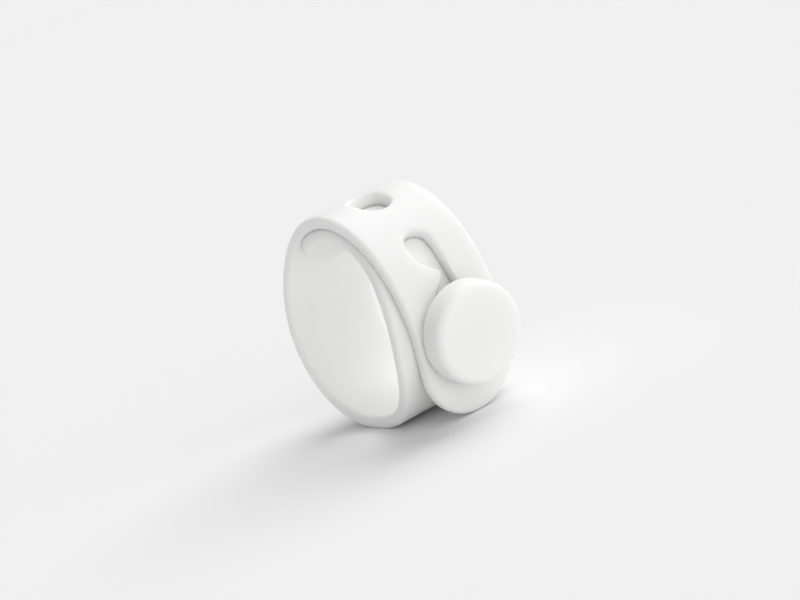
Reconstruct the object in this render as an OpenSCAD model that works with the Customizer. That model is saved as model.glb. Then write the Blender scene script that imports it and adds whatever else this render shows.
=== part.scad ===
// One-piece moulded cable tie, fastened in a loop.
// A flat strap widens into a pad that carries a flat-headed button on a neck.
// The strap runs once round and over the pad, where its keyhole slot hooks the neck.
// The loop's axis is along Y. It leans on its underside and on the tip of its tail.

/* [Strap] */
// Width of the plain strap
strap_w = 12; // [9:0.5:14]
// Thickness of the strap
strap_t = 1.5; // [1.2:0.1:1.9]
// Rounding of every strap edge
edge_r = 0.5; // [0.2:0.05:0.55]
// Width of the pad under the button
pad_w = 14.75; // [13:0.05:18]
// How much further the pad swells on the side towards -Y
pad_lean = 0.475; // [0:0.005:0.6]
// Length over which the pad swells out, each way from its middle
pad_reach = 15; // [10:0.5:18]
// Distance of the pad's middle from the button, towards the tail
pad_shift = 1.7; // [0:0.1:3]

/* [Loop] */
// Mean inside radius of the closed loop
loop_r = 10.6; // [9.5:0.05:13]
// How far the loop's long way exceeds its mean radius
loop_oval = 0.62; // [0:0.02:0.7]
// Angle from the button, down and under, to the loop's narrow way
oval_turn = 37; // [0:1:45]
// How far the loop bulges on three sides, as a bundle leaves it
loop_bulge = 0.4; // [0:0.05:0.5]
// Clear space between the layers where they overlap
layer_gap = 0.1; // [0.1:0.01:0.3]
// Angle by which the head end runs on past the button inside the loop
head_end = 140; // [115:1:145]
// Length of the flat spot on which the loop rests
rest_flat = 2.4; // [1:0.2:4]

/* [Button] */
// Diameter of the head
head_d = 11.5; // [9:0.1:13]
// Thickness of the head
head_t = 3.3; // [2.2:0.1:4]
// Rounding of the head's front rim
head_rim_r = 1; // [0.3:0.05:1.2]
// Rounding of the head's back rim
head_back_r = 0.4; // [0.2:0.05:0.6]
// Diameter of the neck
neck_d = 3.8; // [3:0.1:4.4]
// Rounding where the neck meets the pad and the head
neck_root_r = 0.2; // [0.1:0.05:0.24]
// Clear space between the head and the strap hooked under it
head_clear = 0.3; // [0.15:0.05:0.6]

/* [Tail] */
// Length of the tail from the button's centre to its tip
tail_l = 9.8; // [9:0.1:13]
// Radius of the gentle curve in which the tail springs away
tail_curve_r = 130; // [80:1:180]
// Clear space round the neck in its seat
seat_clear = 0.25; // [0.25:0.05:0.5]
// Length of the seat above the neck
seat_l = 3.4; // [2.5:0.1:3.8]
// Width of the slot's upper lobe
slot_w = 3.3; // [2.6:0.1:3.6]
// Length of the slot from the neck's centre to its upper end
slot_l = 12.5; // [11.5:0.1:13.5]
// Sideways lean of the slot's upper lobe
slot_lean = 0.1; // [0:0.05:0.5]
// Width of the throat that the tooth leaves between the upper lobe and the seat
throat_w = 1.25; // [0.7:0.05:1.5]
// Distance of the throat from the neck's centre
throat_at = 7; // [6.6:0.1:7.2]
// Length over which the tooth closes in from the upper lobe to the throat
tooth_l = 2.6; // [2.2:0.1:3]
// Width of the spare hole
hole_w = 3.7; // [2.6:0.1:4.4]
// Length of the spare hole
hole_l = 5.5; // [4.6:0.1:6.5]
// Distance of the spare hole's middle from the neck's centre
hole_at = 20; // [19:0.1:21.5]
// Rounding of the lips of the slot and the hole
lip_r = 0.45; // [0.2:0.05:0.55]

/* [Finish] */
// Steps along the plain length of the strap
body_steps = 110; // [90:2:130]
// Steps round each end of the strap
end_steps = 12; // [8:1:16]
// Steps round each strap edge
edge_steps = 4; // [3:1:5]

/* [Hidden] */
$fn = 96;
WHITE = [0.95, 0.95, 0.94];
// Height of the lips' rims over the arc of the outer face
lip_rise = 0.03;
// How far straight walls stand inside the round ends that they join
trim = 0.03;
// Angle at which the strap's two outline halves meet
split_at = 170;
// Angles between which the strap climbs by one layer
climb_from = 60;
climb_end = 356;
// Angles between which the roll to the resting place is searched, and its first guess
roll_min = 5;
roll_max = 70;
roll_guess = 30;
roll_halvings = 24;

// The winding angle u runs backwards from the neck's first pass:
// the head end is at -head_end, the neck at 0 and the hooked seat at 360.
pitch = strap_t + layer_gap;
end_r = strap_w / 2;
deg_l = loop_r * PI / 180;
s_min = -head_end * deg_l;
s_split = split_at * deg_l;
s_seat = 360 * deg_l;
s_max = s_seat + tail_l;
climb_to = climb_end - head_end;

function smooth(x) = let(c = min(1, max(0, x))) c * c * (3 - 2 * c);

// Inside radius of the strap, which climbs by one layer behind the tail.
function loop_radius(u) =
    loop_r - loop_oval * cos(2 * (u - oval_turn)) + loop_bulge * sin(3 * u)
    + pitch * smooth((u - climb_from) / (climb_to - climb_from));

// A frame is [x, z, angle of the outward normal] on the strap's inner face.
function on_loop(u) =
    let(r = loop_radius(u), slope = (loop_radius(u + 0.5) - loop_radius(u - 0.5)) * 180 / PI)
    [r * cos(u), -r * sin(u), -u + atan(slope / r)];

seat = on_loop(360);

// The tail springs away from the loop in a gentle curve.
function on_tail(l) =
    let(a = l / tail_curve_r * 180 / PI, n = seat[2], r = tail_curve_r)
    [
        seat[0] + r * (sin(a) * sin(n) - (1 - cos(a)) * cos(n)),
        seat[1] - r * (sin(a) * cos(n) + (1 - cos(a)) * sin(n)),
        n - a
    ];

function frame_at(s) = s > s_seat ? on_tail(s - s_seat) : on_loop(s / deg_l);

// Turning of a point about the loop's axis, forwards and down.
function turned(p, a) = [p[0] * cos(a) + p[1] * sin(a), p[1] * cos(a) - p[0] * sin(a)];
function raised(f, h) = [f[0] + h * cos(f[2]), f[1] + h * sin(f[2])];

// The loop rolls forwards until the tip of its tail meets the floor.
loop_low = [for (u = [20 : 2 : 120]) raised(on_loop(u), strap_t)];
tail_low = [
    for (i = [0 : 8])
        let(a = 90 * i / 8, s = s_max - edge_r * (1 - sin(a)))
        raised(frame_at(s), strap_t - edge_r * (1 - cos(a)))
];
function lowest(points, a) = min([for (p = points) turned(p, a)[1]]);
under_r = -lowest(loop_low, roll_guess);
flat_rise = under_r - sqrt(under_r * under_r - rest_flat * rest_flat / 4);
function roll_between(a, b, n) =
    let(m = (a + b) / 2)
    n == 0 ? m
    : lowest(tail_low, m) > lowest(loop_low, m) + flat_rise ? roll_between(m, b, n - 1)
    : roll_between(a, m, n - 1);
roll = roll_between(roll_min, roll_max, roll_halvings);
floor_z = lowest(loop_low, roll) + flat_rise;

// Half width of the strap away from its round ends, on one side.
function half_w(s, lean) =
    strap_w / 2 + ((pad_w - strap_w) / 2 + lean) * smooth(1 - abs(s - pad_shift) / pad_reach);

// One side of the strap's outline, as [s, half width, normal along s, normal across].
// Its first side is towards +Y and its second towards -Y.
function round_end(tip, way) = [
    for (i = [0 : end_steps - 1])
        let(a = 90 * i / end_steps)
        [tip + way * end_r * (1 - cos(a)), end_r * sin(a), -way * cos(a), sin(a)]
];
function side(from, to, n, lean) = [
    for (i = [0 : n])
        let(
            s = from + (to - from) * i / n,
            slope = (half_w(s + 0.05, lean) - half_w(s - 0.05, lean)) / 0.1,
            q = sqrt(1 + slope * slope)
        )
        [s, half_w(s, lean), -slope / q, 1 / q]
];
head_share = (s_split - s_min) / (s_max - s_min);
head_steps = round(body_steps * head_share);
tail_steps = body_steps - head_steps;
leans = [-pad_lean, pad_lean];
head_side = [
    for (d = leans)
        concat(round_end(s_min, 1), side(s_min + end_r, s_split, head_steps, d))
];
tail_side = [
    for (d = leans)
        concat(round_end(s_max, -1), side(s_max - end_r, s_split, tail_steps, d))
];

// Rounded edge, as [inset, height], from the outer face to the inner face.
edge = concat(
    [
        for (i = [0 : edge_steps])
            let(a = 90 * i / edge_steps)
            [edge_r * (1 - sin(a)), strap_t - edge_r * (1 - cos(a))]
    ],
    [
        for (i = [0 : edge_steps])
            let(a = 90 * i / edge_steps)
            [edge_r * (1 - cos(a)), edge_r * (1 - sin(a))]
    ]
);

// A point of the strap at rest, pressed flat where it meets the floor.
function resting(s, y, h) =
    let(p = turned(raised(frame_at(s), h), roll))
    [p[0], y, max(p[1], floor_z)];

// Points run in rings round both sides of the outline, one ring for each step of the edge.
function strap_points(o) =
    let(m = len(o[0]) - 1, n = 2 * m + 1)
    [
        for (e = edge)
            for (k = [0 : n - 1])
                let(q = k > m ? o[1][n - k] : o[0][k], y = q[1] - e[0] * q[3])
                resting(q[0] - e[0] * q[2], k > m ? -y : y, e[1])
    ];

// Faces of the edge rings, then of the outer and the inner face.
function strap_faces(m, way) =
    let(
        n = 2 * m + 1,
        base = (len(edge) - 1) * n,
        rim = [
            for (j = [0 : len(edge) - 2])
                for (k = [0 : n - 1])
                    let(a = j * n + k, b = j * n + (k + 1) % n)
                    [a, b, b + n, a + n]
        ],
        outer = [for (k = [0 : m - 1]) k == 0 ? [0, n - 1, 1] : [k, n - k, n - k - 1, k + 1]],
        inner = [for (f = outer) [for (i = [len(f) - 1 : -1 : 0]) f[i] + base]]
    )
    [
        for (f = concat(rim, outer, inner))
            way < 0 ? f : [for (i = [len(f) - 1 : -1 : 0]) f[i]]
    ];

// The button stands square on the pad. Its heights run from the pad's inner face.
root = on_loop(0);
head_from = pitch + strap_t + head_clear;
head_to = head_from + head_t;

// Bounds along X set the origin under the middle of the whole length.
strap_x = [
    for (s = [s_min : 1 : s_max])
        for (h = [0, strap_t])
            turned(raised(frame_at(s), h), roll)[0]
];
rim_x = turned(raised(root, head_to - head_rim_r), roll)[0];
face_x = rim_x + (head_d / 2 - head_rim_r) * abs(sin(root[2] - roll)) + head_rim_r;
mid_x = (min(strap_x) + face_x) / 2;

// Lengths along the strap's outer face, from the hooked seat back round the loop.
outer_face = [for (i = [0 : 140]) raised(on_loop(360 - i), strap_t)];
outer_turn = [
    for (i = 0, l = 0; i < 140; l = l + norm(outer_face[i + 1] - outer_face[i]), i = i + 1)
        [l, 360 - i]
];
function outer_at(l) = raised(on_loop(lookup(l, outer_turn)), strap_t);

// Arc of the strap's outer face from length l0 to l1, as [centre, radius, start, l0].
function cross2(a, b) = a[0] * b[1] - a[1] * b[0];
function arc_centre(a, b, c) =
    let(p = b - a, q = c - a, d = 2 * cross2(p, q))
    a + [q[1] * (p * p) - p[1] * (q * q), p[0] * (q * q) - q[0] * (p * p)] / d;
function arc_from(l0, l1) =
    let(
        a = outer_at(l0),
        o = arc_centre(a, outer_at((l0 + l1) / 2), outer_at(l1))
    )
    [o, norm(a - o), atan2(a[1] - o[1], a[0] - o[0]), l0];
function arc_angle(arc, l) = arc[2] + (l - arc[3]) / arc[1] * 180 / PI;
slot_arc = arc_from(0, slot_l);
hole_arc = arc_from(hole_at - hole_l / 2, hole_at + hole_l / 2);

// Puts a shape drawn along Z on an arc, at length l from the neck.
module on_arc(arc, l, y = 0) {
    translate([arc[0][0], 0, arc[0][1]])
        rotate([0, 90 - arc_angle(arc, l), 0])
            translate([0, y, arc[1]])
                children();
}

// Section of an opening with a rounded lip at height 0, from the middle to one side.
// The lip meets the strap's outer face at a slight angle.
module lipped_half(half) {
    translate([0, -2 * strap_t])
        square([half, 3 * strap_t]);
    difference() {
        translate([0, lip_rise - lip_r])
            square([half + lip_r, strap_t]);
        translate([half + lip_r, lip_rise - lip_r])
            circle(lip_r);
    }
}

// Round opening through the hooked layer.
module lipped_hole(d) {
    rotate_extrude()
        lipped_half(d / 2);
}

// Straight-sided opening along an arc, from length l0 to l1.
module lipped_channel(arc, l0, l1, w, y = 0) {
    translate([arc[0][0], y, arc[0][1]])
        rotate([90, 0, 0])
            rotate([0, 0, arc_angle(arc, l0)])
                rotate_extrude(angle = arc_angle(arc, l1) - arc_angle(arc, l0))
                    translate([arc[1], 0])
                        for (m = [0, 1])
                            mirror([0, m])
                                mirror([1, -1])
                                    lipped_half(w / 2);
}

// Neck and head, drawn up the Z axis from the pad's inner face.
module fillet_ring(z, way) {
    translate([0, 0, z])
        rotate_extrude()
            difference() {
                translate([0, way > 0 ? -0.3 : -neck_root_r])
                    square([neck_d / 2 + neck_root_r, neck_root_r + 0.3]);
                translate([neck_d / 2 + neck_root_r, way * neck_root_r])
                    circle(neck_root_r);
            }
}

module head_section() {
    square([head_d / 2 - head_back_r, head_t / 2]);
    square([head_d / 2 - head_rim_r, head_t]);
    translate([0, head_back_r])
        square([head_d / 2, head_t - head_back_r - head_rim_r]);
    translate([head_d / 2 - head_rim_r, head_t - head_rim_r])
        circle(head_rim_r);
    translate([head_d / 2 - head_back_r, head_back_r])
        circle(head_back_r);
}

module button() {
    translate([root[0], 0, root[1]]) rotate([0, 90 - root[2], 0]) {
        translate([0, 0, strap_t / 2])
            cylinder(h = head_from, d = neck_d);
        fillet_ring(strap_t, 1);
        fillet_ring(head_from, -1);
        translate([0, 0, head_from])
            rotate_extrude()
                head_section();
    }
}

// Keyhole: a seat round the neck, and a lobe above it behind a tooth that holds the neck.
// The straight walls stand just inside the round ends that they join.
module keyhole() {
    seat_d = neck_d + 2 * seat_clear;
    lobe_l = slot_l - slot_w / 2;
    far = slot_w / 2 - slot_lean;
    near = -slot_w / 2 - slot_lean;
    lip = far - throat_w;
    upper = [for (i = [0 : 11]) [-tooth_l * i / 12, lip + (near - lip) * sin(7.5 * i)]];
    lower = [
        [0, lip],
        [0, far - throat_w / 2],
        [2.4, 0.4 * far],
        [2.4, -0.3 * seat_d],
        [1.9, -0.28 * seat_d],
        [1, lip - 0.55]
    ];
    on_arc(slot_arc, 0)
        lipped_hole(seat_d);
    lipped_channel(slot_arc, 0, seat_l, seat_d - 2 * trim);
    on_arc(slot_arc, seat_l)
        lipped_hole(seat_d);
    lipped_channel(slot_arc, seat_l, lobe_l, throat_w, far - throat_w / 2 - trim);
    on_arc(slot_arc, throat_at)
        translate([0, 0, -2 * strap_t])
            linear_extrude(3 * strap_t) {
                polygon(concat(upper, [[-3, far - throat_w / 2], [0, far - throat_w / 2]]));
                polygon(lower);
            }
    lobe_w = slot_w - 3 * trim;
    lipped_channel(slot_arc, throat_at + tooth_l - 0.35, lobe_l, lobe_w, -slot_lean - trim / 2);
    on_arc(slot_arc, lobe_l, -slot_lean)
        lipped_hole(slot_w);
}

module spare_hole() {
    ends = [hole_at - (hole_l - hole_w) / 2, hole_at + (hole_l - hole_w) / 2];
    for (l = ends)
        on_arc(hole_arc, l)
            lipped_hole(hole_w);
    lipped_channel(hole_arc, ends[0], ends[1], hole_w - 2 * trim);
}

module strap_part(o, way) {
    polyhedron(strap_points(o), strap_faces(len(o[0]) - 1, way), convexity = 8);
}

module strap() {
    color(WHITE)
        translate([-mid_x, pad_lean, -floor_z]) {
            strap_part(head_side, 1);
            difference() {
                strap_part(tail_side, -1);
                rotate([0, roll, 0]) {
                    keyhole();
                    spare_hole();
                }
            }
            rotate([0, roll, 0])
                button();
        }
}

strap();
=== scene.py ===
import math

import bmesh
import bpy
import numpy as np
from mathutils import Matrix, Vector
from mathutils.geometry import delaunay_2d_cdt


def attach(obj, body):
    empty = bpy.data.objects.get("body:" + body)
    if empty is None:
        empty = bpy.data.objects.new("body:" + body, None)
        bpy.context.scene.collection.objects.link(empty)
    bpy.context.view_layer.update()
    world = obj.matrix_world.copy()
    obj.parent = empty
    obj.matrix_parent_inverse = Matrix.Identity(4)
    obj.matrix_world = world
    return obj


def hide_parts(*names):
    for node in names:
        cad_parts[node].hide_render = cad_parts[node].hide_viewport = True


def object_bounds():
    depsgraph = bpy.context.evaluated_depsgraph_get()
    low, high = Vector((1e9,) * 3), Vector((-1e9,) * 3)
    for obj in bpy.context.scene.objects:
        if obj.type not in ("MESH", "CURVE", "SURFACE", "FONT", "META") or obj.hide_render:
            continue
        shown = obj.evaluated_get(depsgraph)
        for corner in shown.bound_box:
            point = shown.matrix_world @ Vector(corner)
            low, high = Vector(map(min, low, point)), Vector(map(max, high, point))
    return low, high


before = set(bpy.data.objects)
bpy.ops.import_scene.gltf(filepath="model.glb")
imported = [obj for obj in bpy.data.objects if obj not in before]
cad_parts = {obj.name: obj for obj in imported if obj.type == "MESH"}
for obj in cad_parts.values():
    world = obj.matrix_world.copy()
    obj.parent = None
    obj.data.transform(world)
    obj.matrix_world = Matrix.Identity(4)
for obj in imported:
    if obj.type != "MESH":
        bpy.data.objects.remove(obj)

bl_info = {
    "name": "Moulded Cable Tie",
    "version": (1, 0, 0),
    "blender": (4, 5, 0),
    "location": "3D View > Sidebar > Cable Tie",
    "description": "Builds a soft one-piece cable tie, closed in a loop over its button",
    "category": "Add Mesh",
}

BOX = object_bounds()
MM = 0.001


# sizes

def length(name, default, description):
    return bpy.props.FloatProperty(
        name=name, description=description, default=default * MM, unit="LENGTH", precision=5
    )


def angle(name, default, description):
    return bpy.props.FloatProperty(
        name=name, description=description, default=math.radians(default), unit="ROTATION"
    )


class TIE_PG_strap(bpy.types.PropertyGroup):
    """Sizes of the strap and of the loop it is closed in."""

    width: length("Width", 12, "Width of the plain strap")
    thickness: length("Thickness", 1.5, "Thickness of the strap")
    edge: length("Edge rounding", 0.5, "Rounding of every strap edge")
    pad_width: length("Pad width", 14.75, "Width of the pad under the button")
    pad_lean: length("Pad lean", 0.475, "How much further the pad swells on the side towards -Y")
    pad_reach: length("Pad reach", 15, "Length over which the pad swells out, each way")
    pad_shift: length("Pad shift", 1.7, "Distance of the pad's middle from the button")
    loop_radius: length("Loop radius", 10.6, "Mean inside radius of the closed loop")
    oval: length("Oval", 0.62, "How far the loop's long way exceeds its mean radius")
    oval_turn: angle("Oval turn", 37, "Angle from the button to the loop's narrow way")
    bulge: length("Bulge", 0.4, "How far the loop bulges on three sides")
    gap: length("Layer gap", 0.04, "Clear space between the layers where they overlap")
    head_end: angle("Head end", 140, "How far the head end runs on inside the loop")
    flat: length("Flat spot", 2.4, "Length of the flat spot on which the loop rests")
    tail: length("Tail", 9.8, "Length of the tail from the button's centre to its tip")
    tail_curve: length("Tail curve", 130, "Radius of the gentle curve of the tail")


class TIE_PG_openings(bpy.types.PropertyGroup):
    """Sizes of the keyhole slot and of the spare hole."""

    seat: length("Seat width", 4.3, "Width of the seat round the neck")
    seat_length: length("Seat length", 3.4, "Length of the seat above the neck")
    slot_width: length("Slot width", 3.3, "Width of the slot's upper lobe")
    slot_length: length("Slot length", 12.5, "Length from the neck's centre to the slot's end")
    slot_lean: length("Slot lean", 0.1, "Sideways lean of the slot's upper lobe")
    throat: length("Throat", 1.25, "Width that the tooth leaves between seat and upper lobe")
    throat_at: length("Tooth place", 7.0, "Distance of the tooth's tip from the neck's centre")
    tooth: length("Tooth length", 2.6, "Length over which the tooth rises from the lobe's side")
    hole_width: length("Spare hole width", 3.7, "Width of the spare hole")
    hole_length: length("Spare hole length", 5.5, "Length of the spare hole")
    hole_at: length("Spare hole place", 20.0, "Distance of the spare hole from the neck")
    lip: length("Outer lip", 0.45, "Rounding of the openings' lips on the outer face")
    press: length("Rim press", 0.025, "How far the openings' rims press towards the layer below")


class TIE_PG_button(bpy.types.PropertyGroup):
    """Sizes of the button."""

    head: length("Head", 11.5, "Diameter of the head")
    head_thickness: length("Head thickness", 3.3, "Thickness of the head")
    rim: length("Front rim", 1.0, "Rounding of the head's front rim")
    back_rim: length("Back rim", 0.4, "Rounding of the head's back rim")
    neck: length("Neck", 3.8, "Diameter of the neck")
    root: length("Neck root", 0.2, "Rounding where the neck meets the pad and the head")
    clear: length("Head clearance", 0.3, "Clear space between the head and the hooked strap")


class TIE_PG_finish(bpy.types.PropertyGroup):
    """Look of the silicone and of the stage."""

    silicone: bpy.props.FloatVectorProperty(
        name="Silicone", description="Colour of the silicone", subtype="COLOR",
        default=(0.9, 0.9, 0.895), min=0, max=1,
    )
    roughness: bpy.props.FloatProperty(
        name="Roughness", description="Mean roughness of the moulded skin", subtype="FACTOR",
        default=0.46, min=0, max=1,
    )
    grain: length("Grain", 0.14, "Size of the moulded skin's fine grain")
    floor: bpy.props.FloatVectorProperty(
        name="Floor", description="Colour of the plain floor", subtype="COLOR",
        default=(0.95, 0.95, 0.95), min=0, max=1,
    )
    key: bpy.props.FloatProperty(
        name="Key light", description="Strength of the soft light from above", default=1.75, min=0,
    )
    fill: bpy.props.FloatProperty(
        name="Fill light", description="Strength of the soft light in front of the button",
        default=1.5, min=0,
    )
    sky: bpy.props.FloatProperty(
        name="Surrounding light", description="Strength of the even light from all round",
        default=0.38, min=0,
    )


# strap path

TURN = 2 * math.pi
LOOP_POINTS = 2400
TAIL_POINTS = 260
OUTER_POINTS = 1400
SLOPE_STEP = math.radians(0.5)
# The strap starts to climb by one layer here.
CLIMB_START = math.radians(60)
# The climb's angle and the head end's add up to this, so it is up before it meets the head end.
CLIMB_AND_HEAD_END = math.radians(296)
# The openings lie within this angle behind the seat.
OPENINGS_REACH = math.radians(140)
# Angles of the loop on which it can come to rest.
UNDERSIDE = np.radians(np.arange(20, 121, 2))
# A rough roll that sizes the flat spot, and the least and the most that are tried.
ROUGH_ROLL = math.radians(30)
LEAST_ROLL, MOST_ROLL = math.radians(5), math.radians(70)
ROLL_HALVINGS = 30


def smooth(x):
    """Rises from 0 to 1, with soft ends, while x goes from 0 to 1."""
    c = np.clip(x, 0.0, 1.0)
    return c * c * (3 - 2 * c)


def quarter(steps):
    """Angles of a quarter turn, from 0 up."""
    return np.linspace(0, math.pi / 2, steps)


def running_length(points):
    """Length from the first point of a line to each of its points."""
    return np.concatenate([[0], np.cumsum(np.hypot(*np.diff(points, axis=0).T))])


def raised(points, normals, height):
    """Points moved out by a height, along normals given as angles."""
    h = np.asarray(height, float)
    return points + np.stack([h * np.cos(normals), h * np.sin(normals)], -1)


def turned(points, a):
    """Points of the path's plane, rolled forwards by an angle."""
    x, z = points[..., 0], points[..., 1]
    return np.stack([x * math.cos(a) + z * math.sin(a), z * math.cos(a) - x * math.sin(a)], -1)


class Winding:
    """Path of the strap's inner face: head end, once round the loop, then the tail.

    The angle u runs from the button down, under and back round: the neck is at 0
    and the seat that hooks it one full turn on.
    """

    def __init__(self, size):
        self.size = size
        self.pitch = size.thickness + size.gap
        self.u = np.linspace(-size.head_end, TURN, LOOP_POINTS)
        loop_points, loop_normals = self.on_loop(self.u)
        tail_points, tail_normals = self.on_tail(np.linspace(0, size.tail, TAIL_POINTS)[1:])
        self.points = np.vstack([loop_points, tail_points])
        self.normals = np.concatenate([loop_normals, tail_normals])
        lengths = running_length(self.points)
        self.loop_lengths = lengths[: len(self.u)]
        self.seat_at = float(self.loop_lengths[-1])
        self.end = float(lengths[-1])
        self.settle()

    def radius(self, u):
        """Radius of the inner face: an uneven oval that climbs by one layer."""
        s = self.size
        climb = (u - CLIMB_START) / (CLIMB_AND_HEAD_END - s.head_end)
        oval = -s.oval * np.cos(2 * (u - s.oval_turn)) + s.bulge * np.sin(3 * u)
        return s.loop_radius + oval + self.pitch * smooth(climb)

    def on_loop(self, u):
        """Points of the inner face and its outward angles, at angles round the loop."""
        u = np.asarray(u, float)
        r = self.radius(u)
        slope = (self.radius(u + SLOPE_STEP) - self.radius(u - SLOPE_STEP)) / (2 * SLOPE_STEP)
        return np.stack([r * np.cos(u), -r * np.sin(u)], -1), -u + np.arctan(slope / r)

    def on_tail(self, past):
        """The same on the tail, at lengths past the seat."""
        (x, z), n = self.on_loop(TURN)
        r = self.size.tail_curve
        a = np.asarray(past, float) / r
        along, away = r * np.sin(a), r * (1 - np.cos(a))
        tail_x = x + along * np.sin(n) - away * np.cos(n)
        tail_z = z - along * np.cos(n) - away * np.sin(n)
        return np.stack([tail_x, tail_z], -1), n - a

    def settle(self):
        """Roll the loop forwards until the tip of its tail meets the floor."""
        s = self.size
        under = raised(*self.on_loop(UNDERSIDE), s.thickness)
        a = quarter(9)
        tip, normals = self.on_tail(s.tail - s.edge * (1 - np.sin(a)))
        tip = raised(tip, normals, s.thickness - s.edge * (1 - np.cos(a)))
        reach = -turned(under, ROUGH_ROLL)[:, 1].min()
        rise = reach - math.sqrt(reach ** 2 - s.flat ** 2 / 4)
        low, high = LEAST_ROLL, MOST_ROLL
        for _ in range(ROLL_HALVINGS):
            middle = (low + high) / 2
            gap = turned(tip, middle)[:, 1].min() - turned(under, middle)[:, 1].min() - rise
            low, high = (middle, high) if gap > 0 else (low, middle)
        self.roll = (low + high) / 2
        self.floor = turned(under, self.roll)[:, 1].min() + rise

    def at_rest(self, points, middle):
        """Points of the path's plane, where the resting tie has them."""
        rolled = turned(points, self.roll)
        return np.stack([rolled[..., 0] - middle, rolled[..., 1] - self.floor], -1)

    def half_width(self, plan, lean):
        """Half the strap's width on one side, at a length from its head end."""
        s = self.size
        u = np.interp(plan, self.loop_lengths, self.u)
        nominal = u * s.loop_radius + np.maximum(np.asarray(plan) - self.seat_at, 0)
        swell = smooth(1 - np.abs(nominal - s.pad_shift) / s.pad_reach)
        return s.width / 2 + ((s.pad_width - s.width) / 2 + lean) * swell

    def outer_length_to_plan(self, back):
        """Plan length of a place measured back from the seat along the outer face."""
        s = self.size
        u = np.linspace(TURN, TURN - OPENINGS_REACH, OUTER_POINTS)
        run = running_length(raised(*self.on_loop(u), s.thickness))
        plan = np.interp(u, self.u, self.loop_lengths)
        behind = np.interp(back, run, plan)
        ahead = self.seat_at - np.asarray(back) / (1 + s.thickness / s.loop_radius)
        return np.where(np.asarray(back) < 0, ahead, behind)


# outlines in the flat plan

# Outlines are drawn with many points first, then spread evenly by these steps.
RIM_STEP = 0.33 * MM
OPENING_STEP = 0.12 * MM
FEWEST_POINTS = 12
# The seat's slack below the neck, because its wall leans in towards the inner face.
SEAT_SLACK = 0.35 * MM
# The tooth's underside: how far its points lie back from the tip, along the strap and across.
TOOTH_UNDERSIDE = np.array([[1.4, 0.93], [1.0, 0.55], [0.4, 0.18]]) * MM
# Where the seat's wall ends on the tooth's side, in degrees.
SEAT_CORNER = -32
# The lip's share of its full rounding beside the seat, and where it grows past the tooth's tip.
TIGHT_LIP = 0.4
LIP_GROWS_FROM, LIP_GROWS_OVER = 0.3 * MM, 1.5 * MM


def even(points, step):
    """Points of a closed outline, spread evenly along it."""
    closed = np.vstack([points, points[:1]])
    run = running_length(closed)
    n = max(FEWEST_POINTS, int(round(run[-1] / step)))
    at = np.linspace(0, run[-1], n + 1)[:-1]
    return np.stack([np.interp(at, run, closed[:, 0]), np.interp(at, run, closed[:, 1])], -1)


def into_material(outline, outward):
    """Unit normals of an outline, pointing into the strap's material."""
    along = np.roll(outline, -1, axis=0) - np.roll(outline, 1, axis=0)
    n = np.stack([-along[:, 1], along[:, 0]], -1)
    n /= np.hypot(*n.T)[:, None]
    x, y = outline.T
    area = (x * np.roll(y, -1) - np.roll(x, -1) * y).sum()
    inside = n if area > 0 else -n
    return -inside if outward else inside


def strap_outline(path):
    """The strap's rim: round ends, and sides that swell out into the pad."""
    s = path.size
    r = s.width / 2
    a = quarter(40)
    head = np.stack([r * (1 - np.cos(a)), r * np.sin(a)], -1)
    tail = np.stack([path.end - r * (1 - np.cos(a[::-1])), r * np.sin(a[::-1])], -1)
    x = np.linspace(r, path.end - r, 500)[1:-1]
    far, near = [
        np.vstack([head, np.stack([x, path.half_width(x, lean)], -1), tail])
        for lean in (-s.pad_lean, s.pad_lean)
    ]
    return even(np.vstack([far, near[-2:0:-1] * [1, -1]]), RIM_STEP)


def eased(points, times):
    """A closed outline with its corners rounded, step by step."""
    for _ in range(times):
        points = (np.roll(points, 1, axis=0) + 2 * points + np.roll(points, -1, axis=0)) / 4
    return points


def arc(centre, r, start, end, n):
    """Points of an arc about a centre on the strap's middle line, angles in degrees."""
    a = np.radians(np.linspace(start, end, n))
    return np.stack([centre + r * np.cos(a), r * np.sin(a)], -1)


def keyhole_outline(path, opening):
    """The slot's outline, and the share of the full lip at each of its points.

    A seat goes round the neck, with a lobe above it and a tooth between the two.
    """
    seat, lobe = opening.seat / 2, opening.slot_width / 2
    top, tooth = opening.slot_length - lobe, opening.throat_at
    far, near = lobe - opening.slot_lean, -lobe - opening.slot_lean
    tip = far - opening.throat
    under = [tooth, tip] - TOOTH_UNDERSIDE
    a = quarter(24)
    over = np.stack([tooth + opening.tooth * a * 2 / math.pi, tip + (near - tip) * np.sin(a)], -1)
    lobe_end = arc(top, lobe, -90, 90, 50) - [0, opening.slot_lean]
    far_corner = math.degrees(math.asin(far / seat))
    outline = np.vstack([
        arc(-SEAT_SLACK, seat, 90, 270, 60),
        arc(opening.seat_length, seat, -90, SEAT_CORNER, 20),
        under,
        over,
        lobe_end,
        arc(opening.seat_length, seat, far_corner, 90, 20),
    ])
    outline = eased(even(outline, OPENING_STEP), times=4)
    grown = smooth((outline[:, 0] - tooth - LIP_GROWS_FROM) / LIP_GROWS_OVER)
    share = TIGHT_LIP + (1 - TIGHT_LIP) * grown
    return np.stack([path.outer_length_to_plan(outline[:, 0]), outline[:, 1]], -1), share


def spare_hole_outline(path, opening):
    """The spare hole's outline, with a full lip all round."""
    r = opening.hole_width / 2
    half = opening.hole_length / 2 - r
    ends = np.vstack([arc(half, r, -90, 90, 50), arc(-half, r, 90, 270, 50)])
    outline = even(ends, OPENING_STEP)
    plan = path.outer_length_to_plan(opening.hole_at + outline[:, 0])
    return np.stack([plan, outline[:, 1]], -1), np.ones(len(outline))


# the strap laid flat

ROUNDING_STEPS = 7
# The grid inside the outlines, which reaches past the pad's sides.
GRID_ALONG, GRID_ACROSS = 0.42 * MM, 0.8 * MM
GRID_HALF_WIDTH = 9 * MM
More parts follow.
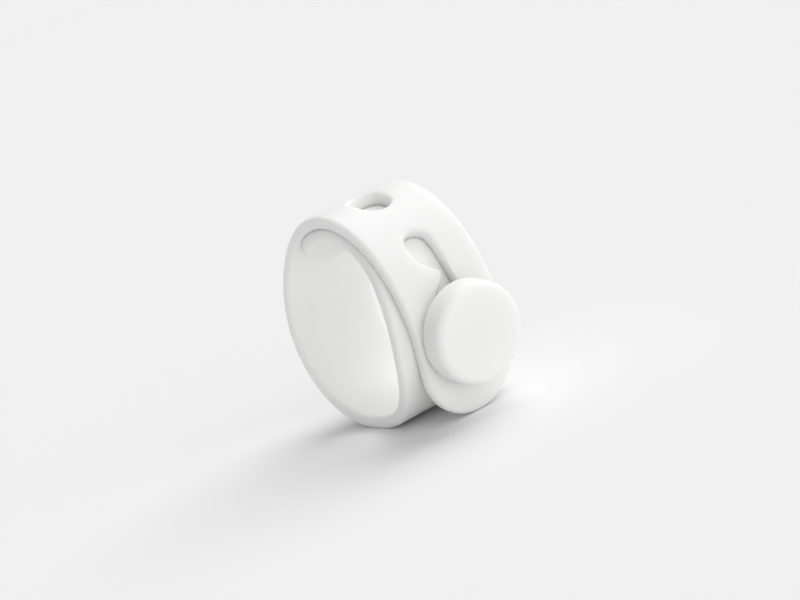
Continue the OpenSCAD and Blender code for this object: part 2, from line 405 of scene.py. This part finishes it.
# Grid points closer than this to an outline are left out.
GRID_CLEAR = 0.24 * MM
GRID_BATCH = 500
# Tolerance of the triangulation, which works in millimetres.
FILL_TOLERANCE = 1e-5
# Points closer than this are one point.
MERGE_WITHIN = 1e-7


def outer_rounding(r, thickness):
    """Offsets into the material and heights of a rounding, down from the outer face."""
    a = quarter(ROUNDING_STEPS)
    return np.stack([r * (1 - np.sin(a)), thickness - r * (1 - np.cos(a))], -1)


def rounded_edge(r, thickness):
    """Offsets into the material and heights of an edge, from the outer to the inner face."""
    a = quarter(ROUNDING_STEPS)
    low = np.stack([r * (1 - np.cos(a)), r * (1 - np.sin(a))], -1)
    return np.vstack([outer_rounding(r, thickness), low])


def lipped_wall(r, press, thickness):
    """Offsets and heights of an opening's wall: a rounded lip, then down to the layer below."""
    wall = np.linspace(thickness - r, -press, 5)[1:]
    return np.vstack([outer_rounding(r, thickness), np.stack([0 * wall, wall], -1)])


def is_inside(points, outline):
    """Whether each point lies within a closed outline."""
    x, y = points[:, 0:1], points[:, 1:2]
    ax, ay = outline.T
    bx, by = np.roll(outline, -1, axis=0).T
    span = (ay > y) != (by > y)
    cross = (bx - ax) * (y - ay) / np.where(by == ay, 1, by - ay) + ax
    return (span & (x < cross)).sum(1) % 2 == 1


def in_material(points, rim, holes):
    """Whether each point lies within the rim and in none of the holes."""
    keep = is_inside(points, rim)
    for hole in holes:
        keep &= ~is_inside(points, hole)
    return keep


def sheet_between(rim, holes):
    """Triangles that fill an outline round its holes, on an even grid of inner points."""
    loops = [rim] + holes
    gx = np.arange(rim[:, 0].min(), rim[:, 0].max(), GRID_ALONG)
    gy = np.arange(-GRID_HALF_WIDTH, GRID_HALF_WIDTH, GRID_ACROSS)
    grid = np.stack(np.meshgrid(gx, gy, indexing="ij"), -1).reshape(-1, 2)
    grid = grid[in_material(grid, rim, holes)]
    every = np.vstack(loops)
    nearest = np.empty(len(grid))
    for start in range(0, len(grid), GRID_BATCH):
        part = grid[start:start + GRID_BATCH]
        gap = ((part[:, None] - every[None]) ** 2).sum(-1).min(1)
        nearest[start:start + GRID_BATCH] = np.sqrt(gap)
    grid = grid[nearest > GRID_CLEAR]
    edges, first = [], 0
    for loop in loops:
        n = len(loop)
        edges += [(first + k, first + (k + 1) % n) for k in range(n)]
        first += n
    plan = np.vstack([every, grid])
    verts = [Vector(p) for p in plan * (1 / MM)]
    out, _, faces, source, _, _ = delaunay_2d_cdt(verts, edges, [], 0, FILL_TOLERANCE)
    if len(out) != len(verts):
        raise RuntimeError("the flat plan's outlines cross")
    order = [where[0] for where in source]
    faces = np.array([[order[k] for k in f] for f in faces if len(f) == 3])
    return grid, faces[in_material(plan[faces].mean(1), rim, holes)]


def flat_strap(path, opening):
    """The whole strap laid flat: length along X, width along Y, height above its inner face."""
    s = path.size
    t = s.thickness
    rim = strap_outline(path)
    loops = [
        (rim, np.ones(len(rim))),
        keyhole_outline(path, opening),
        spare_hole_outline(path, opening),
    ]
    wall = lipped_wall(opening.lip, opening.press, t)
    profiles = [rounded_edge(s.edge, t), wall, wall]
    verts, faces, tops, lows, first = [], [], [], [], 0
    for k, ((loop, share), profile) in enumerate(zip(loops, profiles)):
        normal = into_material(loop, outward=k > 0) * share[:, None]
        n = len(loop)
        for inset, height in profile:
            heights = t - (t - height) * share if inset > 0 else np.full(n, height)
            verts.append(np.column_stack([loop + normal * inset, heights]))
        for j in range(len(profile) - 1):
            a, b = first + j * n, first + (j + 1) * n
            faces += [(a + i, a + (i + 1) % n, b + (i + 1) % n, b + i) for i in range(n)]
        tops.append((first, n, loop + normal * profile[0, 0]))
        lows.append((first + (len(profile) - 1) * n, n, loop + normal * profile[-1, 0]))
        first += n * len(profile)
    for rings, height in ((tops, t), (lows, 0.0)):
        outlines = [outline for _, _, outline in rings]
        grid, triangles = sheet_between(outlines[0], outlines[1:])
        on_rings = [np.arange(start, start + n) for start, n, _ in rings]
        index = np.concatenate(on_rings + [first + np.arange(len(grid))])
        verts.append(np.column_stack([grid, np.full(len(grid), height)]))
        faces += [tuple(int(v) for v in index[f]) for f in triangles]
        first += len(grid)
    mesh = bpy.data.meshes.new("flat_strap")
    mesh.from_pydata(np.vstack(verts).tolist(), [], faces)
    tidy(mesh)
    seam = mesh.attributes.new("seam", "FLOAT", "POINT")
    co = np.empty(len(mesh.vertices) * 3)
    mesh.vertices.foreach_get("co", co)
    seam.data.foreach_set("value", ((co[2::3] - t / 2) / MM).astype(np.float32))
    return mesh


def tidy(mesh):
    """Merge doubles, then point every face of the closed shell outwards."""
    work = bmesh.new()
    work.from_mesh(mesh)
    bmesh.ops.remove_doubles(work, verts=work.verts, dist=MERGE_WITHIN)
    bmesh.ops.recalc_face_normals(work, faces=work.faces)
    if work.calc_volume(signed=True) < 0:
        bmesh.ops.reverse_faces(work, faces=work.faces)
    open_edges = sum(1 for e in work.edges if len(e.link_faces) != 2)
    work.to_mesh(mesh)
    work.free()
    if open_edges:
        raise RuntimeError(f"{mesh.name} has {open_edges} open edges")


# nodes

class Socket:
    """A node socket with arithmetic, for shader and geometry trees alike."""

    def __init__(self, tree, link):
        self.tree, self.link = tree, link

    def math(self, operation, *others):
        return self.tree.node("ShaderNodeMath", {"operation": operation}, self, *others)[0]

    def __add__(self, other):
        return self.math("ADD", other)

    def __mul__(self, other):
        return self.math("MULTIPLY", other)

    def __sub__(self, other):
        return self.math("SUBTRACT", other)

    def __rsub__(self, other):
        return self.tree.node("ShaderNodeMath", {"operation": "SUBTRACT"}, other, self)[0]

    def __truediv__(self, other):
        return self.math("DIVIDE", other)

    def __abs__(self):
        return self.math("ABSOLUTE")

    def clamped(self):
        return self.tree.node("ShaderNodeClamp", {}, self)[0]


class Tree:
    """Adds nodes to a tree: type, settings, then the values or links of the sockets."""

    def __init__(self, nodes):
        self.nodes = nodes
        nodes.nodes.clear()

    def node(self, kind, settings=None, *values, **named):
        n = self.nodes.nodes.new(kind)
        for key, value in (settings or {}).items():
            setattr(n, key, value)
        named = {key.replace("_", " "): value for key, value in named.items()}
        for key, value in list(enumerate(values)) + list(named.items()):
            socket = n.inputs[key]
            if isinstance(value, Socket):
                self.nodes.links.new(value.link, socket)
            elif value is not None:
                socket.default_value = value
        return [Socket(self, s) for s in n.outputs]

    def vector(self, operation, *values):
        return self.node("ShaderNodeVectorMath", {"operation": operation}, *values)[0]


def winding_tree():
    """Winds a flat strap along a path curve and presses it flat on the floor."""
    group = bpy.data.node_groups.new("Wind strap", "GeometryNodeTree")
    face = group.interface
    face.new_socket("Geometry", in_out="INPUT", socket_type="NodeSocketGeometry")
    for name, kind in (("Path", "Object"), ("Floor height", "Float"), ("Silicone", "Material")):
        face.new_socket(name, in_out="INPUT", socket_type="NodeSocket" + kind)
    face.new_socket("Geometry", in_out="OUTPUT", socket_type="NodeSocketGeometry")
    tree = Tree(group)
    flat, path, floor, silicone = tree.node("NodeGroupInput")[:4]
    place = tree.node("GeometryNodeInputPosition")[0]
    along, across, height = tree.node("ShaderNodeSeparateXYZ", {}, place)
    curve = tree.node("GeometryNodeObjectInfo", {"transform_space": "RELATIVE"}, Object=path)[-1]
    by_length = {"mode": "LENGTH", "use_all_curves": True}
    sampled = tree.node("GeometryNodeSampleCurve", by_length, Curves=curve, Length=along)
    on_path, tangent = sampled[1], sampled[2]
    outward = tree.vector("CROSS_PRODUCT", tangent, (0, 1, 0))
    lifted = tree.node("ShaderNodeVectorMath", {"operation": "SCALE"}, outward, Scale=height)[0]
    aside = tree.node("ShaderNodeCombineXYZ", {}, 0.0, across, 0.0)[0]
    wound = tree.vector("ADD", tree.vector("ADD", on_path, lifted), aside)
    x, y, z = tree.node("ShaderNodeSeparateXYZ", {}, wound)
    resting = tree.node("ShaderNodeCombineXYZ", {}, x, y, z.math("MAXIMUM", floor))[0]
    shaped = tree.node("GeometryNodeSetPosition", {}, Geometry=flat, Position=resting)[0]
    real = tree.node("GeometryNodeRealizeInstances", {}, shaped)[0]
    dressed = tree.node("GeometryNodeSetMaterial", {}, Geometry=real, Material=silicone)[0]
    tree.node("NodeGroupOutput", {}, dressed)
    return group


# materials

# Noise features per metre, on the moulded skin and over broad patches.
SKIN_PER_METRE, PATCHES_PER_METRE = 420.0, 110.0
# Half the width of the mould seam, in millimetres.
SEAM_HALF_WIDTH = 0.05
# How sharply the slightly duller patches stand apart, and how much duller they are.
PATCH_CONTRAST, PATCH_START = 1.6, 0.3
PATCH_SHADE = (0.985, 0.985, 0.982)
# Spread of the roughness and height of the relief that each makes.
SKIN_ROUGH, PATCH_ROUGH, SEAM_ROUGH = 0.16, 0.1, 0.06
GRAIN_RELIEF, SKIN_RELIEF, SEAM_RELIEF = 0.5, 1.6, 0.9


def blank_material(name):
    """A new material and its empty tree."""
    material = bpy.data.materials.new(name)
    material.use_nodes = True
    return material, Tree(material.node_tree)


def silicone_material(finish):
    """Soft white moulded silicone: satin skin, fine grain, faint mould seam on the edges."""
    material, tree = blank_material("moulded_silicone")
    place = tree.node("ShaderNodeTexCoord")[3]

    def noise(scale, **settings):
        return tree.node("ShaderNodeTexNoise", {}, Vector=place, Scale=scale, **settings)[0]

    grain = noise(1 / finish.grain, Detail=3.0, Roughness=0.55)
    skin = noise(SKIN_PER_METRE, Detail=4.0, Roughness=0.6)
    patches = noise(PATCHES_PER_METRE, Detail=2.0)
    seam = tree.node("ShaderNodeAttribute", {"attribute_name": "seam"})[2]
    ridge = (1 - abs(seam) / SEAM_HALF_WIDTH).clamped()
    tint = (patches * PATCH_CONTRAST - PATCH_START).clamped()
    duller = [c * shade for c, shade in zip(finish.silicone, PATCH_SHADE)]
    # The colours of a Mix node are its seventh and eighth sockets.
    unused = [None] * 5
    mix = tree.node(
        "ShaderNodeMix", {"data_type": "RGBA"}, tint, *unused, (*duller, 1), (*finish.silicone, 1)
    )
    colour = mix[2]
    rough = (skin - 0.5) * SKIN_ROUGH + (patches - 0.5) * PATCH_ROUGH
    rough = rough + finish.roughness + ridge * SEAM_ROUGH
    relief = grain * GRAIN_RELIEF + skin * SKIN_RELIEF + ridge * SEAM_RELIEF
    bump = tree.node("ShaderNodeBump", {}, Strength=0.5, Distance=0.01 * MM, Height=relief)[0]
    shader = tree.node(
        "ShaderNodeBsdfPrincipled", {}, Base_Color=colour, Roughness=rough, Normal=bump,
        IOR=1.41, Subsurface_Weight=0.7, Subsurface_Scale=0.0018, Subsurface_Radius=(1.0, 1.0, 1.0),
        Specular_IOR_Level=0.42,
    )[0]
    tree.node("ShaderNodeOutputMaterial", {}, shader)
    return material


def floor_material(finish):
    """Plain matt floor."""
    material, tree = blank_material("pale_floor")
    shader = tree.node(
        "ShaderNodeBsdfPrincipled", {}, Base_Color=(*finish.floor, 1), Roughness=0.9,
        Specular_IOR_Level=0.0,
    )[0]
    tree.node("ShaderNodeOutputMaterial", {}, shader)
    return material


# pieces

BUTTON_STEPS = 144
# How far the neck's root fillet starts below the pad's face.
ROOT_SINK = 0.03 * MM
SHARP_ANGLE = math.radians(40)


def button_profile(path, button):
    """The button's radii and heights above the pad's inner face, and its seam's height."""
    neck, head = button.neck / 2, button.head / 2
    root, t = button.root, path.size.thickness
    back = path.pitch + t + button.clear
    face = back + button.head_thickness
    low, high = button.back_rim, button.rim
    pad = t - ROOT_SINK
    q = quarter(9)
    profile = [(0, 0.5 * t), (0.5 * neck, 0.5 * t), (neck + root, 0.5 * t)]
    profile += [(neck + root * (1 - math.sin(a)), pad + root * (1 - math.cos(a))) for a in q]
    profile += [(neck + root * (1 - math.cos(a)), back - root * (1 - math.sin(a))) for a in q]
    profile += [(r, back) for r in np.linspace(neck + root, head - low, 6)[1:-1]]
    profile += [(head - low * (1 - math.sin(a)), back + low * (1 - math.cos(a))) for a in q]
    profile += [(head, h) for h in np.linspace(back + low, face - high, 6)[1:-1]]
    profile += [(head - high * (1 - math.cos(a)), face - high * (1 - math.sin(a))) for a in q]
    profile += [(r, face) for r in np.linspace(head - high, 0, 9)[1:]]
    return profile, (back + low + face - high) / 2


def button_mesh(path, button, middle):
    """Neck and flat head, turned about the pad's normal and set into the pad."""
    profile, seam_at = button_profile(path, button)
    head_only = button.neck / 2 + button.root
    (x0, z0), n = path.on_loop(0.0)
    work = bmesh.new()
    seam = work.verts.layers.float.new("seam")
    rings = []
    for r, h in profile:
        spots = [0.0] if r == 0 else np.linspace(0, TURN, BUTTON_STEPS + 1)[:-1]
        ring = []
        for a in spots:
            across, up = r * math.cos(a), r * math.sin(a)
            x = x0 + h * math.cos(n) - up * math.sin(n)
            z = z0 + h * math.sin(n) + up * math.cos(n)
            x, z = path.at_rest(np.array([x, z]), middle)
            vert = work.verts.new((x, across + path.size.pad_lean, z))
            vert[seam] = (h - seam_at) / MM if r > head_only else 1.0
            ring.append(vert)
        rings.append(ring)
    for low_ring, high_ring in zip(rings, rings[1:]):
        for k in range(BUTTON_STEPS):
            low_pair = [low_ring[i % len(low_ring)] for i in (k, k + 1)]
            high_pair = [high_ring[i % len(high_ring)] for i in (k + 1, k)]
            # A ring of one point, on the axis, makes triangles.
            work.faces.new(list(dict.fromkeys(low_pair + high_pair)))
    mesh = bpy.data.meshes.new("button")
    work.to_mesh(mesh)
    work.free()
    tidy(mesh)
    return mesh


def put(name, data):
    """A new object in the scene."""
    thing = bpy.data.objects.new(name, data)
    bpy.context.scene.collection.objects.link(thing)
    return thing


def plain(thing, name):
    """The evaluated object as a plain mesh of its own."""
    bpy.context.view_layer.update()
    graph = bpy.context.evaluated_depsgraph_get()
    mesh = bpy.data.meshes.new_from_object(thing.evaluated_get(graph), depsgraph=graph)
    mesh.name = name
    return mesh


def drop(*things):
    for thing in things:
        bpy.data.objects.remove(thing, do_unlink=True)


def path_curve(path, middle):
    """The resting path as a curve object, for the strap to be wound along."""
    curve = bpy.data.curves.new("strap_path", "CURVE")
    curve.dimensions = "3D"
    spline = curve.splines.new("POLY")
    rest = path.at_rest(path.points, middle)
    spline.points.add(len(rest) - 1)
    aside = np.full(len(rest), path.size.pad_lean)
    flat = np.column_stack([rest[:, 0], aside, rest[:, 1], np.ones(len(rest))])
    spline.points.foreach_set("co", flat.ravel())
    return put("strap_path", curve)


class TIE_OT_tie(bpy.types.Operator):
    """Mould the strap with its button in one piece and close it in a loop"""

    bl_idname = "tie.mould_tie"
    bl_label = "Mould the Tie"

    def execute(self, context):
        scene = context.scene
        path = Winding(scene.tie_strap)
        lowest, highest = np.array(BOX[0]), np.array(BOX[1])
        outer = raised(path.points, path.normals, path.size.thickness)
        middle = float(turned(outer, path.roll)[:, 0].min() - lowest[0])
        silicone = silicone_material(scene.tie_finish)
        strap = put("wound_strap", flat_strap(path, scene.tie_openings))
        guide = path_curve(path, middle)
        modifier = strap.modifiers.new("Wind strap", "NODES")
        modifier.node_group = winding_tree()
        inputs = {"Path": guide, "Floor height": 0.0, "Silicone": silicone}
        for item in modifier.node_group.interface.items_tree:
            if item.in_out == "INPUT" and item.name in inputs:
                modifier[item.identifier] = inputs[item.name]
        wound = put("wound", plain(strap, "wound"))
        drop(strap, guide)
        button = put("button", button_mesh(path, scene.tie_button, middle))
        button.data.materials.append(silicone)
        join = wound.modifiers.new("Join", "BOOLEAN")
        join.operation, join.solver, join.object = "UNION", "EXACT", button
        mesh = plain(wound, "silicone_tie")
        drop(wound, button)
        co = np.empty(len(mesh.vertices) * 3)
        mesh.vertices.foreach_get("co", co)
        # No point lies outside the solids' own box.
        kept = np.clip(co.reshape(-1, 3), lowest, highest)
        mesh.vertices.foreach_set("co", kept.ravel())
        tidy(mesh)
        mesh.materials.clear()
        mesh.materials.append(silicone)
        mesh.polygons.foreach_set("use_smooth", [True] * len(mesh.polygons))
        mesh.set_sharp_from_angle(angle=SHARP_ANGLE)
        tie = put("silicone_tie", mesh)
        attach(tie, "root")
        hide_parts("strap")
        return {"FINISHED"}


# stage

# How white the camera sees the backdrop.
BACKDROP = 0.875
# The camera's place, and its right, up and back, in the frame of the resting tie.
CAMERA_PLACE = (0.210401, -0.125366, 0.060044)
CAMERA_RIGHT = (0.538746, 0.769325, -0.343353)
CAMERA_UP = (0.029389, 0.390146, 0.920284)
CAMERA_BACK = (0.841955, -0.50589, 0.18758)


def broad_lamp(name, side, spread, strength):
    """A far lamp that shines from a side, as softly as its spread is wide."""
    lamp = bpy.data.lights.new(name, "SUN")
    lamp.energy, lamp.angle = strength, math.radians(spread)
    place = Vector(side).normalized()
    turn = place.to_track_quat("Z", "Y").to_matrix().to_4x4()
    put(name, lamp).matrix_world = Matrix.Translation(place) @ turn


class TIE_OT_stage(bpy.types.Operator):
    """Lay the pale floor, hang the soft lamps and place the camera"""

    bl_idname = "tie.set_stage"
    bl_label = "Set the Stage"

    def execute(self, context):
        scene = context.scene
        finish = scene.tie_finish
        work = bmesh.new()
        bmesh.ops.create_grid(work, x_segments=1, y_segments=1, size=3.0)
        floor = bpy.data.meshes.new("floor")
        work.to_mesh(floor)
        work.free()
        floor.materials.append(floor_material(finish))
        put("floor", floor)
        world = bpy.data.worlds.new("Soft room")
        world.use_nodes = True
        tree = Tree(world.node_tree)
        rays = tree.node("ShaderNodeLightPath")
        camera_ray, glossy_ray, transmission_ray = rays[0], rays[3], rays[6]
        direct = camera_ray.math("MAXIMUM", glossy_ray).math("MAXIMUM", transmission_ray)
        room = tree.node("ShaderNodeBackground", {}, (1, 1, 1, 1), finish.sky)[0]
        backdrop = tree.node("ShaderNodeBackground", {}, (BACKDROP, BACKDROP, BACKDROP, 1), 1.0)[0]
        mixed = tree.node("ShaderNodeMixShader", {}, direct, room, backdrop)[0]
        tree.node("ShaderNodeOutputWorld", {}, mixed)
        scene.world = world
        broad_lamp("key", side=(-0.05, 0.6, 0.8), spread=60, strength=finish.key)
        broad_lamp("fill", side=(0.98, -0.05, 0.08), spread=80, strength=finish.fill)
        lens = bpy.data.cameras.new("camera")
        lens.sensor_width, lens.lens = 36.0, 99.0
        lens.clip_start, lens.clip_end = 0.01, 20.0
        camera = put("camera", lens)
        turn = Matrix((CAMERA_RIGHT, CAMERA_UP, CAMERA_BACK)).transposed().to_4x4()
        camera.matrix_world = Matrix.Translation(CAMERA_PLACE) @ turn
        scene.camera = camera
        scene.view_settings.view_transform = "Standard"
        return {"FINISHED"}


class TIE_PT_panel(bpy.types.Panel):
    """Sizes, finish and steps of the tie."""

    bl_idname = "TIE_PT_panel"
    bl_label = "Cable Tie"
    bl_space_type = "VIEW_3D"
    bl_region_type = "UI"
    bl_category = "Cable Tie"

    def draw(self, context):
        for group in GROUPS:
            values = getattr(context.scene, group)
            box = self.layout.box()
            for name in values.__annotations__:
                box.prop(values, name)
        for operator in (TIE_OT_tie, TIE_OT_stage):
            self.layout.operator(operator.bl_idname)


GROUPS = {
    "tie_strap": TIE_PG_strap,
    "tie_openings": TIE_PG_openings,
    "tie_button": TIE_PG_button,
    "tie_finish": TIE_PG_finish,
}
CLASSES = (*GROUPS.values(), TIE_OT_tie, TIE_OT_stage, TIE_PT_panel)


def register():
    for cls in CLASSES:
        bpy.utils.register_class(cls)
    for name, cls in GROUPS.items():
        setattr(bpy.types.Scene, name, bpy.props.PointerProperty(type=cls))


def unregister():
    for name in GROUPS:
        delattr(bpy.types.Scene, name)
    for cls in reversed(CLASSES):
        bpy.utils.unregister_class(cls)


def main():
    register()
    bpy.ops.tie.mould_tie()
    bpy.ops.tie.set_stage()


if __name__ == "__main__":
    main()
